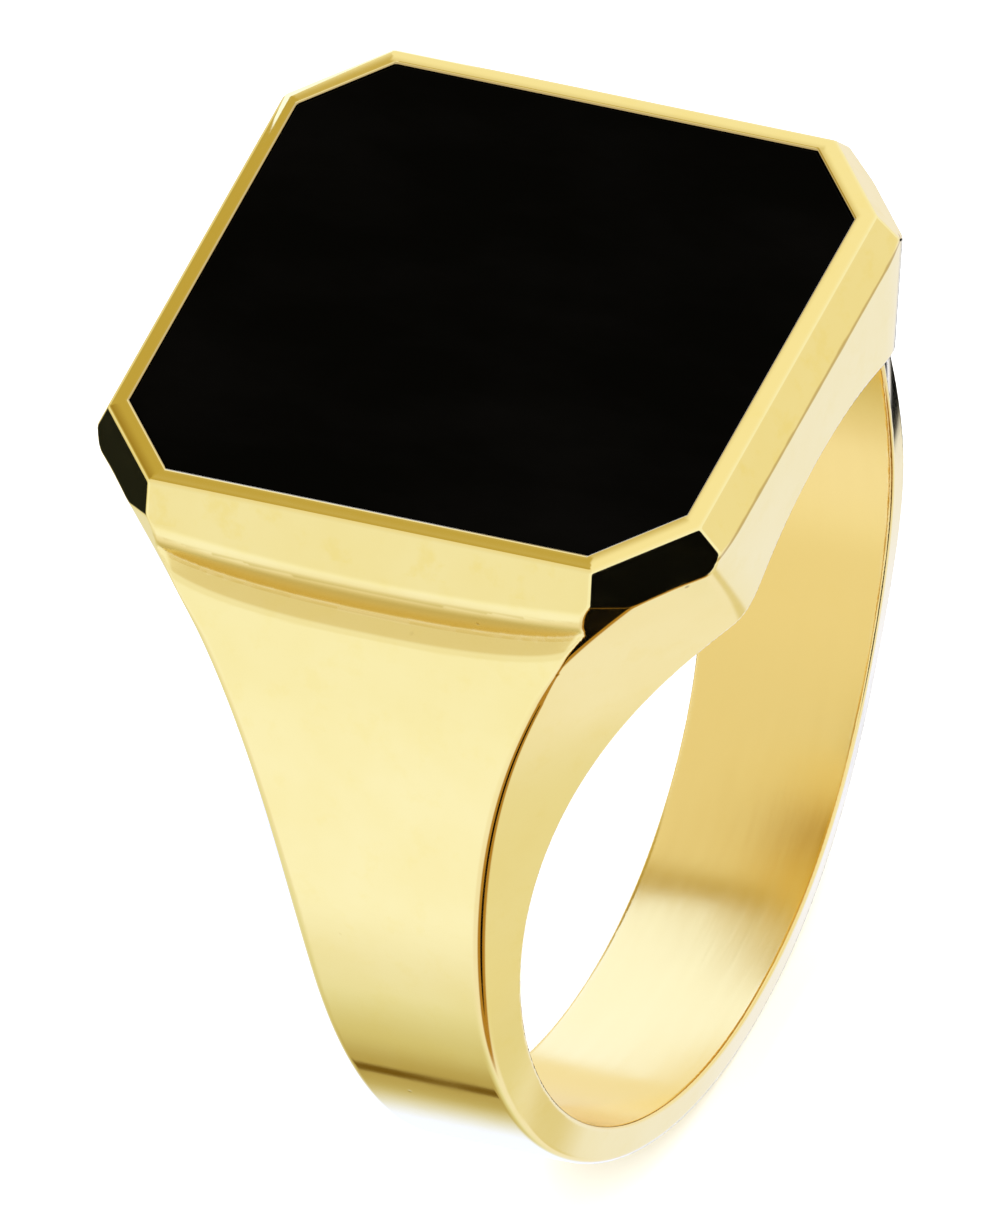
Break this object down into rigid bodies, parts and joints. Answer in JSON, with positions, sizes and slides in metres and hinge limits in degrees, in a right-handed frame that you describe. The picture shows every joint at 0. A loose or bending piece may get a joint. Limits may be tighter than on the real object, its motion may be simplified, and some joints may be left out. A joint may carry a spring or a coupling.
{
  "type": "signet ring",
  "caption": "Gold signet ring with tapering shoulders and a flat black stone tablet set flush in a bevelled, corner-cut octagonal bezel; worn on a finger.",
  "frame": {"origin": "centre of the finger bore", "axes": "+Z from the finger towards the head of the ring, +Y along the finger bore, X across the shoulders"},
  "size_m": [0.0218, 0.0162, 0.024],
  "materials": {
    "gold_body": "polished yellow gold, satin inside",
    "gold_bezel": "polished yellow gold",
    "onyx": "gloss polished",
    "cement": "cured, dull"
  },
  "bodies": {
    "root": {"ring_body": "gold_body", "bezel_frame": "gold_bezel", "onyx_tablet": "onyx", "cement_bed": "cement"}
  },
  "joints": []
}
